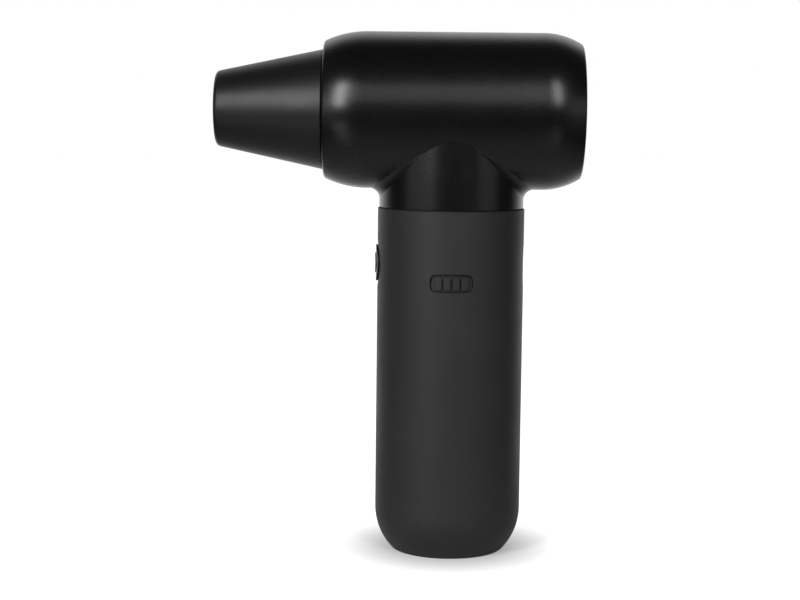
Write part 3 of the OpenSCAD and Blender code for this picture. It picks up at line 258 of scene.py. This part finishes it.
def paint_nodes(materials):
    """Gives each CAD node the material of its slot."""
    slots = {row["node"]: row["material_slot"] for row in frame["record"]["subparts"]}
    for name, node in frame["nodes"].items():
        node.data.materials.clear()
        node.data.materials.append(materials[slots[name]])


# ---------------------------------------------------------------- lamps

LAMP_CENTRE = Vector((0.0, 0.0, 0.12))   # what the lamps stand round and face

# Name, azimuth and elevation in degrees, distance, (width, height), watts.
LAMPS = (
    ("softbox_left", -34, 22, 1.2, (0.21, 0.66), 9.6),
    ("softbox_right", 23, 28, 1.2, (0.22, 0.64), 4.8),
    ("softbox_front", 0, 26, 1.3, (1.2, 0.56), 3.0),
    ("fill_left", -59, 8, 1.3, (0.8, 0.5), 1.4),
    ("fill_right", 57, 7, 1.3, (0.8, 0.5), 1.1),
    ("softbox_back", 180, 42, 1.3, (1.2, 0.5), 0.7),
)


def polar(azimuth, elevation, distance):
    """A place seen from the lamps' centre: azimuth 0 is towards the camera,
    positive to the right."""
    a, e = math.radians(azimuth), math.radians(elevation)
    return LAMP_CENTRE + distance * Vector((
        math.sin(a) * math.cos(e), -math.cos(a) * math.cos(e), math.sin(e)))


def add_area(name, place, size, power):
    """A softbox at a place, facing the lamps' centre and unseen by the camera."""
    data = bpy.data.lights.new(name, "AREA")
    data.shape = "RECTANGLE"
    data.size, data.size_y = size
    data.energy = power
    light = bpy.data.objects.new(name, data)
    light.location = place
    light.visible_camera = False
    light.rotation_euler = (LAMP_CENTRE - place).to_track_quat("-Z", "Y").to_euler()
    bpy.context.scene.collection.objects.link(light)


def add_lights():
    """Two tall softboxes, a wide dim one and two low fills in front, and one high behind."""
    for name, azimuth, elevation, distance, size, power in LAMPS:
        add_area(name, polar(azimuth, elevation, distance), size, power)


# ---------------------------------------------------------------- backdrop
# The camera sees floor and world white, but for a painted shade on the floor
# round the base. To the object the world is a bright backdrop behind it and a dim
# room in front, and the floor shows the foot of that backdrop in mirror and
# transmitted rays as a painted glow, over painted paper that darkens further out.

BACKDROP_EDGE = (0.33, 0.85)   # how far back a direction points where the
                               # backdrop begins, and where it is full
ROOM_DIM = 0.06                # light of the room, where the backdrop is 1
CEILING_EDGE = (0.3, 0.9)      # how far up a direction points where the light
                               # begins to fall, and where it is lowest
CEILING_DIM = 0.68             # share of the light that is left there

# Reaches are distances from the origin, in metres.
FLOOR_HALF = 3.0
FLOOR_DARK = (0.43, 0.43, 0.43, 1.0)
FLOOR_LIGHT = (0.47, 0.47, 0.47, 1.0)
FLOOR_GRAIN = (900.0, 2.0, 0.5)
FLOOR_ROUGH = 0.2
FLOOR_SHINE = 0.5              # specular level of the floor in mirror rays
PAINTED_SHADE_REACH = (0.012, 0.051)   # painted shade: the camera sees the floor dimmer within this
PAINTED_SHADE_LEVEL = 0.22             # strength of its emission in the middle, where the painted shade is deepest
MIRROR_REACH = (0.03, 0.3)     # in mirror rays the paper is painted darker over this
MIRROR_PAINTED_FALLOFF = (0.7, 0.05)     # its painted grey near the object, and further out
GLOW_REACH = (0.0, 0.35)       # in mirror rays the painted glow of the backdrop rises over this


def make_floor_paper():
    """Pale paper under the lamps, which glows white to the camera outside a soft shade
    round the middle, mostly painted and partly cast, and in mirror rays is painted
    light near the middle and dark further out, and glows behind as a painted
    reflection of the backdrop."""
    s = Shader("floor_paper")
    tree = s.tree
    grain = s.noise(*FLOOR_GRAIN)
    parts = s.add("ShaderNodeSeparateXYZ")
    s.join(s.place, parts.inputs["Vector"])
    length = s.add("ShaderNodeVectorMath", operation="LENGTH")
    s.join(s.place, length.inputs["Vector"])
    reach = length.outputs["Value"]
    path = s.add("ShaderNodeLightPath")
    glossy = path.outputs["Is Glossy Ray"]

    # To the lamps this is the paper's own grain. In mirror rays the grey is painted, light
    # near the middle and dark further out.
    paper = s.add("ShaderNodeMix", data_type="RGBA")
    s.join(glossy, paper.inputs["Factor"])
    s.join(s.tint(grain, FLOOR_DARK, FLOOR_LIGHT), paper.inputs["A"])
    s.join(map_range(tree, reach, MIRROR_REACH, *MIRROR_PAINTED_FALLOFF), paper.inputs["B"])
    s.join(paper.outputs["Result"], s.bsdf.inputs["Base Color"])
    s.bsdf.inputs["Roughness"].default_value = FLOOR_ROUGH
    s.join(map_range(tree, glossy, (0.0, 1.0), 0.0, FLOOR_SHINE),
           s.bsdf.inputs["Specular IOR Level"])

    # Painted shade: to the camera the floor's emission is dimmer near the middle, and the
    # real cast shadow only adds to it.
    seen_with_painted_shade = combine(tree, "MULTIPLY", path.outputs["Is Camera Ray"],
                   map_range(tree, reach, PAINTED_SHADE_REACH, PAINTED_SHADE_LEVEL, 1.0))
    mirror_ray = combine(tree, "MAXIMUM", glossy, path.outputs["Is Transmission Ray"])
    # Painted reflection: in mirror rays the floor glows behind the object, rising from
    # nothing at the middle.
    behind = combine(tree, "DIVIDE", parts.outputs["Y"], reach)
    glow = combine(tree, "MULTIPLY", map_range(tree, behind, BACKDROP_EDGE, 0.0, 1.0),
                   map_range(tree, reach, GLOW_REACH, 0.0, 1.0))
    painted_backdrop_reflection = combine(tree, "MULTIPLY", mirror_ray, glow)
    s.bsdf.inputs["Emission Color"].default_value = (1, 1, 1, 1)
    s.join(combine(tree, "ADD", seen_with_painted_shade, painted_backdrop_reflection), s.bsdf.inputs["Emission Strength"])
    return s.material


def add_floor():
    """A pale floor: white to the camera, with a soft shade round the grip's base, mostly
    painted and partly its cast shadow.
    """
    mesh = bpy.data.meshes.new("floor")
    half = FLOOR_HALF
    mesh.from_pydata([(-half, -half, 0), (half, -half, 0), (half, half, 0), (-half, half, 0)],
                     [], [(0, 1, 2, 3)])
    floor = bpy.data.objects.new("floor", mesh)
    bpy.context.scene.collection.objects.link(floor)
    mesh.materials.append(make_floor_paper())


def add_world():
    """White to the camera; for the object a white backdrop behind and a dim room in front."""
    world = bpy.data.worlds.new("studio")
    bpy.context.scene.world = world
    world.use_nodes = True
    tree = world.node_tree
    tree.nodes.clear()
    path = tree.nodes.new("ShaderNodeLightPath")
    place = tree.nodes.new("ShaderNodeTexCoord")
    parts = tree.nodes.new("ShaderNodeSeparateXYZ")
    tree.links.new(place.outputs["Generated"], parts.inputs["Vector"])
    room = combine(tree, "MULTIPLY",
                   map_range(tree, parts.outputs["Y"], BACKDROP_EDGE, ROOM_DIM, 1.0),
                   map_range(tree, parts.outputs["Z"], CEILING_EDGE, 1.0, CEILING_DIM))
    light = combine(tree, "MAXIMUM", path.outputs["Is Camera Ray"], room)
    shade = tree.nodes.new("ShaderNodeBackground")
    shade.inputs["Color"].default_value = (1, 1, 1, 1)
    tree.links.new(light, shade.inputs["Strength"])
    out = tree.nodes.new("ShaderNodeOutputWorld")
    tree.links.new(shade.outputs["Background"], out.inputs["Surface"])


# ---------------------------------------------------------------- scene

bpy.context.scene.view_settings.view_transform = "Standard"
add_camera()
paint_nodes(make_materials())
add_lights()
add_floor()
add_world()
